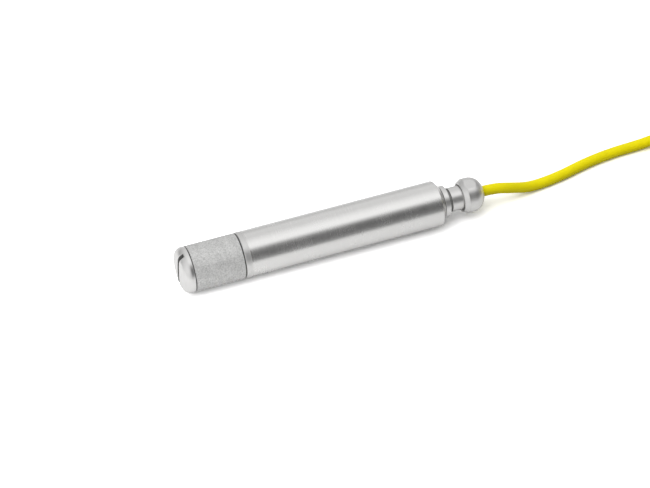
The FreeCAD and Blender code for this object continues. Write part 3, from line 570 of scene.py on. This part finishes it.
board_green = Finish("solder mask", (0.02, 0.16, 0.06), 0.35)
weave = board_green.node("ShaderNodeTexBrick", {"offset": 0.5}, {
    "Vector": board_green.place(), "Scale": 1.0, "Color1": (0.02, 0.17, 0.06, 1),
    "Color2": (0.018, 0.14, 0.05, 1), "Mortar": (0.03, 0.24, 0.09, 1), "Mortar Size": 0.08,
    "Brick Width": 3.4, "Row Height": 0.9})
board_green.feed("Base Color", weave)
dress(board_green.material, "circuit_board")
dress(plain("natural nylon", (0.74, 0.71, 0.62), (0.68, 0.64, 0.55), 0.5, 0.6),
      "front_board_clip", "rear_board_clip")
dress(plain("chip epoxy", (0.025, 0.025, 0.027), (0.015, 0.015, 0.016), 0.5, 3.0), "signal_chips")
dress(plain("capacitor can", (0.62, 0.62, 0.63), (0.52, 0.52, 0.53), 0.3, 1.5, 1.0),
      "buffer_capacitor")
dress(plain("glazed ceramic", (0.72, 0.72, 0.74), (0.62, 0.62, 0.65), 0.25, 0.9),
      "surge_arresters")
dress(plain("terminal green", (0.03, 0.22, 0.08), (0.02, 0.16, 0.06), 0.45, 0.8), "terminal_block")
dress(plain("tinned wire", (0.72, 0.71, 0.68), (0.6, 0.59, 0.56), 0.3, 2.0, 1.0), "cell_leads")
dress(plain("breather tube", (0.7, 0.7, 0.68), (0.62, 0.62, 0.6), 0.4, 0.7), "vent_tube")


# Tail plug
# Turned stainless plug: two ring seals inside the tube, then the band, the bare neck and the
# threaded end that stick out behind it. It keeps the marks of the lathe tool.

plug_steel = ground_steel("plug steel", (0.78, 0.775, 0.765), 0.34, 0.25, 0.003)
PLUG_RADIUS, PLUG_LENGTH, NECK_RADIUS = TUBE_BORE - FIT, 14.0, 7.4
SEAM, RELIEF = (17.8, 18.6), (21.75, 23.85)
plug_end, groove_floor = 38.0, 10.75
ring_grooves = [(start + x, r, 0) for start in (2.6, 7.6) for x, r in (
    (0, PLUG_RADIUS), (0, groove_floor), (2.4, groove_floor), (2.4, PLUG_RADIUS))]
outline = [
    (0, 5.0, 0), (0, PLUG_RADIUS, 0.35), *ring_grooves,
    (PLUG_LENGTH, PLUG_RADIUS, 0), (PLUG_LENGTH, BAND_RADIUS, 0),
    (SEAM[0], BAND_RADIUS, 0), (SEAM[0], 8.95, 0), (SEAM[1], 8.95, 0), (SEAM[1], BAND_RADIUS, 0.15),
    (RELIEF[0], BAND_RADIUS, 0.35), (RELIEF[0], 6.4, 0.1), (RELIEF[1], 6.4, 0.1),
    (RELIEF[1], NECK_RADIUS, 0.15), (32.7, NECK_RADIUS, 0.1),
    (32.7, 6.95, 0), (plug_end, 6.95, 0.3), (plug_end, 5.4, 0),  # end under the gland nut
    (28.5, 5.4, 0), (28.5, 3.6, 0), (6.0, 3.6, 0), (6.0, 5.0, 0)]  # pocket, bore, crimp's seat
plug = finished("tail_plug_turned", turned("tail_plug", outline, 144), plug_steel, "housing",
                replaces=["tail_plug"])
# painted shade: the faces in the seam and in the relief groove get a darker finish
plug.data.materials.append(
    plain("dull groove", (0.34, 0.34, 0.335), (0.25, 0.25, 0.246), 0.55, 2.0, 0.6))
plug_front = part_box("tail_plug")[0].x / MM
for face in plug.data.polygons:
    x = face.center.x / MM - plug_front
    r = math.hypot(face.center.y, face.center.z - AXIS_Z * MM) / MM
    in_seam = SEAM[0] - 0.02 < x < SEAM[1] + 0.02 and r < BAND_RADIUS - 0.05
    in_relief = RELIEF[0] + 0.03 < x < RELIEF[1] + 0.02 and 6.2 < r < NECK_RADIUS - 0.1
    # these faces take the darker finish that paints shade into the two grooves
    if in_seam or in_relief:
        face.material_index = 1


# Gland nut
# Domed stainless nut that presses the cable seal, polished by hand, with two small wrench flats.
# The cable leaves through the hole in its dome.

nut_steel = ground_steel("nut steel", (0.77, 0.765, 0.755), 0.38, 0.3, 0.002)
NUT_RADIUS, NUT_LENGTH, NUT_DOME, DOME_START, DOME_STEPS = 10.65, 14.35, 8.2, 6.25, 14
start, stop = Vector((DOME_START, NUT_RADIUS)), Vector((NUT_LENGTH, 4.3))
half = (stop - start).length / 2
along = (stop - start).normalized()
middle = (start + stop) / 2 + Vector((along.y, -along.x)) * math.sqrt(NUT_DOME ** 2 - half ** 2)
first = math.atan2(start.y - middle.y, start.x - middle.x)
last = math.atan2(stop.y - middle.y, stop.x - middle.x)
dome = []
for i in range(1, DOME_STEPS):
    a = first + (last - first) * i / DOME_STEPS
    dome.append((middle.x + NUT_DOME * math.cos(a), middle.y + NUT_DOME * math.sin(a), 0))
nut = turned("gland_nut", [
    (0, 7.9, 0.2), (0, 9.0, 0.3), (2.8, 10.45, 0.08), (2.8, NUT_RADIUS, 0.08),  # cone
    (DOME_START, NUT_RADIUS, 0), *dome, (NUT_LENGTH, 4.3, 0.1),
    (NUT_LENGTH, 3.9, 0.1), (14.05, 3.6, 0.1), (7.55, 3.6, 0),  # the cable's hole
    (7.55, 7.0, 0), (1.9, 7.0, 0.1), (1.9, 7.9, 0)], 160)  # thread and mouth
FLAT, FLAT_TURN = 10.1, math.radians(6)
for side in (1, -1):
    normal = Vector((0, -math.sin(FLAT_TURN), math.cos(FLAT_TURN))) * side
    centre = Vector((0, 0, AXIS_Z * MM))
    cut(nut, centre + normal * FLAT * MM, normal)
    for v in nut.verts:
        over = (v.co - centre).dot(normal) - FLAT * MM
        if over > 0:
            v.co -= normal * over
finished("gland_nut_domed", nut, nut_steel, "housing", sharp=20, replaces=["gland_nut"])


# Cable
# Yellow polyurethane cable, 6.6 mm thick: it leaves the nut straight, sinks to the floor and runs
# off to the tied hank. The sheath is extruded, so it is smooth with a faint grain.

sheath = Finish("yellow sheath", (0.88, 0.76, 0.002), 0.5, Specular_IOR_Level=0.15)
haze = sheath.noise(sheath.place(), scale=0.12, detail=3)
skin = sheath.noise(sheath.place(), scale=2.2, detail=3, roughness=0.55)
sheath.feed("Base Color", sheath.blend(
    sheath.spread(haze, 0.0, 0.6) + sheath.spread(skin, 0.0, 0.4),
    (0.77, 0.67, 0.001), (0.87, 0.77, 0.003)))
sheath.feed("Roughness", sheath.spread(skin, 0.45, 0.56))
sheath.bump(skin, 0.2, 0.02)

ROUTE = [
    (92.375, 0.0, AXIS_Z), (103.8, 0.0, AXIS_Z), (115.0, 0.5, 10.25), (130.5, 2.7, 3.35),
    (151.5, 5.3, 3.35), (171.5, 10.6, 3.35), (191.5, 13.3, 3.35), (209.5, 13.8, 3.35),
    (219.0, 13.7, 4.85), (228.0, 13.7, 4.85)]
CABLE_RADIUS = 3.3
HANK_X, HANK_Y, HANK_LIFT, TURN_PITCH = 250.0, -13.4, 1.5, 6.7
COLUMNS, LAYERS, FOLD_RADIUS, RUN, SHEATH_END = 2, 6, 20.4, 132.0, 36.0
OUTER_BEND = FOLD_RADIUS + TURN_PITCH * (COLUMNS - 1)
ALONG_RUN = (7.0, 36.5, 66.0, 95.5, 125.0)

# places of the turns in the stack: out to in and back, layer on layer
stack = []
for layer in range(LAYERS):
    row = range(COLUMNS) if layer % 2 == 0 else reversed(range(COLUMNS))
    stack += [(column, layer) for column in row]


def hank_point(x, angle, column, layer):
    """On a run at 90 or -90 degrees, and otherwise on the fold whose middle is at x."""
    radius = FOLD_RADIUS + TURN_PITCH * (COLUMNS - 1 - column)
    if abs(angle) != 90:
        radius /= math.cos(math.radians(15))  # the spline runs inside its control points
    a = math.radians(angle)
    return Vector((HANK_X + x + radius * math.cos(a), HANK_Y + radius * math.sin(a),
                   HANK_LIFT + TURN_PITCH * (layer + 0.5)))


points = [Vector(p) for p in ROUTE]
for number, (column, layer) in enumerate(stack):
    points += [hank_point(x, 90, column, layer) for x in ALONG_RUN]
    points += [hank_point(RUN, angle, column, layer) for angle in range(75, -90, -30)]
    back = [x for x in reversed(ALONG_RUN) if number + 1 < len(stack) or x > SHEATH_END + 5]
    points += [hank_point(x, -90, column, layer) for x in back]
    if number + 1 == len(stack):
        points.append(hank_point(SHEATH_END, -90, column, layer))
        break
    next_column, next_layer = stack[number + 1]
    for step in range(6):
        share = (step + 0.5) / 6
        ease = share * share * (3 - 2 * share)
        beside = 0.0
        if next_layer != layer:
            # step up beside the stack, clear of the turns that pass
            beside = (0.35 if column else -0.35) * math.sin(math.pi * share)
        points.append(hank_point(0, -105 - 30 * step, column + (next_column - column) * ease
                                 + beside, layer + (next_layer - layer) * ease))

curve = bpy.data.curves.new("cable_line", "CURVE")
curve.dimensions = "3D"
line = curve.splines.new("NURBS")
line.points.add(len(points) - 1)
for spot, p in zip(line.points, points):
    spot.co = (*(p * MM), 1)
line.order_u = 3
line.use_endpoint_u = True
curve.resolution_u = 5
curve.bevel_depth = CABLE_RADIUS * MM
curve.bevel_resolution = 6
curve.use_fill_caps = True
cable = bpy.data.objects.new("cable_sheath", curve)
bpy.context.scene.collection.objects.link(cable)
curve.materials.append(sheath.material)
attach(cable, "housing")
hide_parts("cable", "cable_hank")
dress(sheath.material, "cable_inner")


# Cable end
# The sheath is stripped: three insulated cores with crimped ferrules, for the terminals of the
# measuring device, and the breather tube. They lie in the hank's empty top place.

core_colours = {
    "core brown": (0.16, 0.06, 0.025), "core white": (0.72, 0.71, 0.68),
    "core blue": (0.02, 0.07, 0.30), "breather": (0.62, 0.62, 0.60)}
core_finishes = [plain(name, colour, tuple(c * 0.8 for c in colour), 0.45, 1.5)
                 for name, colour in core_colours.items()]
ferrule_tin = plain("ferrule tin", (0.72, 0.71, 0.69), (0.6, 0.59, 0.57), 0.28, 3.0, 1.0)


def straight(shape, inside, count):
    """A line of points from inside the piece that holds it, out along its length."""
    return shape.node("GeometryNodeResampleCurve", values={
        "Curve": shape.node("GeometryNodeCurvePrimitiveLine", values={
            "Start": shape.vector(shape.size(inside)),
            "End": shape.vector(0 - shape.size("Length"))}),
        "Count": count})


def bar(shape, line, scale=1.0):
    """A round bar along a line, closed at both ends."""
    ring = shape.node("GeometryNodeCurvePrimitiveCircle", values={
        "Resolution": 14, "Radius": shape.size("Radius")})
    shape.ends(shape.node("GeometryNodeCurveToMesh", values={
        "Curve": line, "Profile Curve": ring, "Scale": scale, "Fill Caps": True}))


# a core runs along the empty place and drifts and sinks a little
core = Shape("stripped core", "Inside", "Length", "Radius", "Drift", "Sink")
share = core.node("GeometryNodeSplineParameter", output="Factor")
bar(core, core.node("GeometryNodeSetPosition", values={
    "Geometry": straight(core, "Inside", 15),
    "Offset": core.vector(0.0, share * share * core.size("Drift"),
                          0 - share * share * core.size("Sink"))}))

# a ferrule has a wide mouth and a barrel with the marks of the crimping pliers
ferrule = Shape("crimped ferrule", "Mouth", "Length", "Radius", "Marks")
share = ferrule.node("GeometryNodeSplineParameter", output="Factor")
marks = (share * ferrule.size("Marks") * math.tau).to("SINE")
width = ferrule.spread(share, 1.0, 0.66, 0.1, 0.17) - ferrule.spread(share, 0.0, 0.12, 0.95, 1.0)
width = width + marks * ferrule.spread(share, 0.0, 0.045, 0.2, 0.26)
bar(ferrule, straight(ferrule, "Mouth", 49), width)

ends = bmesh.new()
tips = bmesh.new()
CORE_RADIUS, CORE_INSIDE, FERRULE_LENGTH, FERRULE_RADIUS = 0.8, 2, 6, 0.98
CORES = [(0.0, 1.25, 30.0, -0.3), (1.25, 0.0, 30.5, 0.5), (0.0, -1.25, 29.5, 0.2),
         (-1.25, 0.0, 23.0, -0.4)]  # across, up, length and drift: three cores and the breather
for index, (across, up, length, drift) in enumerate(CORES):
    sink = 0.5 * max(0.0, up)
    start = Vector((HANK_X + SHEATH_END, HANK_Y - OUTER_BEND + across,
                    HANK_LIFT + TURN_PITCH * (LAYERS - 0.5) + up))
    made = core.mesh(core_finishes[index], {
        "Inside": CORE_INSIDE * MM, "Length": length * MM, "Radius": CORE_RADIUS * MM,
        "Drift": drift * MM, "Sink": sink * MM})
    made.transform(Matrix.Translation(start * MM))
    known = len(ends.faces)
    ends.from_mesh(made)
    ends.faces.ensure_lookup_table()
    for f in ends.faces[known:]:
        f.material_index = index
    if index < 3:
        tip = start + Vector((-length, drift, -sink))
        ahead = Vector((-length - 2, 2 * drift, -2 * sink))
        made = ferrule.mesh(ferrule_tin, {
            "Mouth": CORE_RADIUS * MM, "Length": FERRULE_LENGTH * MM,
            "Radius": FERRULE_RADIUS * MM, "Marks": 9.0})
        made.transform(Matrix.Translation(tip * MM)
                       @ Vector((-1, 0, 0)).rotation_difference(ahead).to_matrix().to_4x4())
        tips.from_mesh(made)
bmesh.ops.recalc_face_normals(ends, faces=ends.faces)
bmesh.ops.recalc_face_normals(tips, faces=tips.faces)
stripped = finished("stripped_cores", ends, core_finishes[0], "housing",
                    sharp=40, replaces=["core_ends"])
for material in core_finishes[1:]:
    stripped.data.materials.append(material)
ferrules = finished("core_ferrules_crimped", tips, ferrule_tin, "housing",
                    sharp=40, replaces=["core_ferrules"])
dress(core_finishes[0], "cable_cores")


# Hank ties
# Black nylon straps round both sides of the hank. Each has a smooth band, a square locking head
# on top and a cut-off tail.

nylon = plain("black nylon", (0.03, 0.03, 0.032), (0.018, 0.018, 0.02), 0.42, 2.5)

# drawn flat, across the hank and up, and then stood up
tie = Shape("hank tie", "Across", "Up", "Corner", "Strap width", "Strap thickness", "Head",
            "Head height", "Tail", "Tooth pitch")
across, up = tie.size("Across"), tie.size("Up")
thick, width = tie.size("Strap thickness"), tie.size("Strap width")
loop = tie.node("GeometryNodeFilletCurve", {"mode": "POLY"}, {
    "Curve": tie.node("GeometryNodeCurvePrimitiveQuadrilateral", values={
        "Width": across + thick, "Height": up + thick}),
    "Count": 6, "Radius": tie.size("Corner")})
strap = tie.node("GeometryNodeFilletCurve", {"mode": "POLY"}, {
    "Curve": tie.node("GeometryNodeCurvePrimitiveQuadrilateral", values={
        "Width": thick, "Height": width}),
    "Count": 2, "Radius": thick * 0.2})
band = tie.node("GeometryNodeCurveToMesh", values={"Curve": loop, "Profile Curve": strap})

# the head is the hull of small balls at the corners of a block
head, tall = tie.size("Head"), tie.size("Head height")
on_band = up * 0.5 + thick * 0.75
corners = tie.node("GeometryNodeTransform", values={
    "Geometry": tie.node("GeometryNodeMeshCube", values={
        "Size": tie.vector(head * 0.83, tall * 0.68, width * 1.02)}),
    "Translation": tie.vector(0.0, on_band + tall * 0.5)})
balls = tie.node("GeometryNodeInstanceOnPoints", values={
    "Points": corners,
    "Instance": tie.node("GeometryNodeMeshIcoSphere", values={
        "Radius": tall * 0.16, "Subdivisions": 3})})
block = tie.node("GeometryNodeConvexHull", values={
    0: tie.node("GeometryNodeRealizeInstances", values={0: balls})})

# the cut-off tail leaves the head, with the teeth of the strap on its underside
out_of_head, middle_up, free = head * 0.4, on_band + tall * 0.55, tie.size("Tail")
tail = tie.node("GeometryNodeCurveQuadraticBezier", values={
    "Resolution": 12,
    "Start": tie.vector(out_of_head, middle_up),
    "Middle": tie.vector(out_of_head + free * 0.5, middle_up),
    "End": tie.vector(out_of_head + free, middle_up + free * 0.15)})
tail_band = tie.node("GeometryNodeCurveToMesh", values={
    "Curve": tail, "Profile Curve": strap, "Scale": 0.9, "Fill Caps": True})
pitch = tie.size("Tooth pitch")
tooth = tie.node("GeometryNodeTransform", values={
    "Geometry": tie.node("GeometryNodeMeshCube", values={
        "Size": tie.vector(pitch * 0.55, thick * 0.35, width * 0.62)}),
    "Translation": tie.vector(0.0, 0 - thick * 0.5)})
teeth = tie.node("GeometryNodeInstanceOnPoints", values={
    "Points": tie.node("GeometryNodeResampleCurve", {"mode": "LENGTH"}, {
        "Curve": tail, "Length": pitch}),
    "Instance": tooth,
    "Rotation": tie.node("FunctionNodeAlignRotationToVector", {"axis": "X"}, {
        "Vector": tie.node("GeometryNodeInputTangent")})})
both = tie.node("GeometryNodeJoinGeometry")
for part in (band, block, tail_band, teeth):
    tie.link(part, both.socket.node.inputs[0])
tie.ends(tie.node("GeometryNodeTransform", values={
    "Geometry": both, "Rotation": (math.pi / 2, 0, math.pi / 2)}))

TIE_GAP = 0.3
INNER = FOLD_RADIUS - TURN_PITCH / 2 - TIE_GAP
OUTER = FOLD_RADIUS + TURN_PITCH * (COLUMNS - 0.5) + TIE_GAP
TIE_SIZES = {
    "Across": OUTER - INNER, "Up": TURN_PITCH * LAYERS + 2 * TIE_GAP, "Corner": 3.0,
    "Strap width": 4.8, "Strap thickness": 1.2, "Head": 6.4, "Head height": 3.5, "Tail": 6.6,
    "Tooth pitch": 0.9}


def hank_tie(name, side, node):
    """A strap round the runs on one side of the hank."""
    made = tie.mesh(nylon, {size: value * MM for size, value in TIE_SIZES.items()})
    centre = Vector((HANK_X + RUN / 2, HANK_Y + side * (INNER + OUTER) / 2,
                     HANK_LIFT + TURN_PITCH * LAYERS / 2))
    turn = Matrix.Rotation(0.0 if side > 0 else math.pi, 4, "Z")
    made.transform(Matrix.Translation(centre * MM) @ turn)
    bm = bmesh.new()
    bm.from_mesh(made)
    bmesh.ops.recalc_face_normals(bm, faces=bm.faces)
    return finished(name, bm, nylon, "housing", sharp=40, replaces=[node])


near_tie = hank_tie("near_strap", -1, "near_hank_tie")
far_tie = hank_tie("far_strap", 1, "far_hank_tie")


# Floor, lights and camera
# A white floor under a wide soft light. The steel mirrors a bright ceiling, the white floor and a
# dark strip on the side of the camera, as metal does in a studio.

floor_mesh = bpy.data.meshes.new("floor")
floor_mesh.from_pydata([(-6, -6, 0), (6, -6, 0), (6, 6, 0), (-6, 6, 0)], [], [(0, 1, 2, 3)])
floor = bpy.data.objects.new("floor", floor_mesh)
bpy.context.scene.collection.objects.link(floor)
paper = Finish("white paper")
# the exposure washes the paper out to white, except in the shadow close to the probe, and the
# paper throws less light back at the probe's underside than it shows
ray = paper.node("ShaderNodeLightPath", output="Is Camera Ray")
whiteness = ray * 0.78 + 0.72 - ray.output("Is Diffuse Ray") * 0.3
diffuse = paper.node("ShaderNodeBsdfDiffuse", values={
    "Color": paper.node("ShaderNodeCombineColor", values={
        0: whiteness, 1: whiteness, 2: whiteness})})
# far from the probe the paper fades into the white background
spot = paper.node("ShaderNodeTexCoord", output="Object")
far = paper.spread(paper.node("ShaderNodeVectorMath", {"operation": "LENGTH"}, {0: spot}, "Value"),
                   0.0, 1.0, 0.45, 1.0)
glow = paper.node("ShaderNodeEmission", values={"Color": (1, 1, 1)})
paper.link(paper.node("ShaderNodeMixShader", values={0: ray * far, 1: diffuse, 2: glow}),
           paper.tree.nodes["Material Output"].inputs["Surface"])
floor_mesh.materials.append(paper.material)

world = bpy.data.worlds.new("studio")
bpy.context.scene.world = world
world.use_nodes = True
studio = Nodes(world.node_tree)
sideways, away, up = studio.split(studio.node("ShaderNodeTexCoord", output="Generated"))
# angle from straight up towards the camera side, -180 to 180 degrees brought to 0 to 1
turn_share = (0 - away).to("ARCTAN2", up) * (0.5 / math.pi) + 0.5


def at(degrees):
    return degrees / 360 + 0.5


mirror = studio.node("ShaderNodeValToRGB", {"stops": [
    (at(-95), 0.55), (at(-80), 0.66), (at(-62), 0.84), (at(-35), 0.78), (at(-15), 1.0),
    (at(0), 1.14), (at(19), 1.18), (at(36), 0.22), (at(50), 0.10), (at(68), 0.12),
    (at(84), 0.25), (at(92), 0.5)]}, {0: turn_share})
# past the nose the window side shines brighter than the wall behind, but lights the floor less
rays = studio.node("ShaderNodeLightPath", output="Is Camera Ray")
left_wall = studio.node("ShaderNodeValToRGB", {"stops": [
    (at(-80), 0.4), (at(-10), 0.75), (at(45), 1.0), (at(75), 0.9), (at(95), 0.5)]}, {0: turn_share})
strip_end = studio.spread(sideways, 1.0, 0.0, -0.3, 0.2)
mirror = studio.blend(strip_end * (1 - rays.output("Is Diffuse Ray") * 0.7), mirror, left_wall)
# the far end of the room is dim
mirror = studio.blend(studio.spread(sideways, 0.0, 0.6, 0.5, 0.8), mirror, (0.1, 0.1, 0.1))
sky = studio.blend(rays, mirror, (1, 1, 1))
# the walls light the floor less than they shine in the steel
background = studio.node("ShaderNodeBackground", values={
    "Color": sky, "Strength": 1 - rays.output("Is Diffuse Ray") * 0.1})
studio.link(background, world.node_tree.nodes["World Output"].inputs["Surface"])

for name, spot, size, power in (("softbox", (-0.32, -0.10, 0.76), 0.8, 4.8),
                                ("window", (-0.42, -0.16, 0.22), 0.25, 0.7)):
    lamp = bpy.data.lights.new(name, "AREA")
    lamp.shape = "SQUARE"
    lamp.size = size
    lamp.energy = power
    light = bpy.data.objects.new(name, lamp)
    bpy.context.scene.collection.objects.link(light)
    light.location = spot
    light.rotation_euler = Vector(spot).to_track_quat("Z", "Y").to_euler()
    light.visible_glossy = False

view = bpy.data.cameras.new("camera")
view.sensor_width = 36
view.sensor_fit = "HORIZONTAL"
view.lens = 121.85
view.clip_end = 50
camera = bpy.data.objects.new("camera", view)
bpy.context.scene.collection.objects.link(camera)
camera.location = (-0.32830, -0.86228, 0.93860)
towards_camera = Vector((-0.24664, -0.65741, 0.71203))
camera.rotation_euler = towards_camera.to_track_quat("Z", "Y").to_euler()
bpy.context.scene.camera = camera
bpy.context.scene.view_settings.view_transform = "Standard"
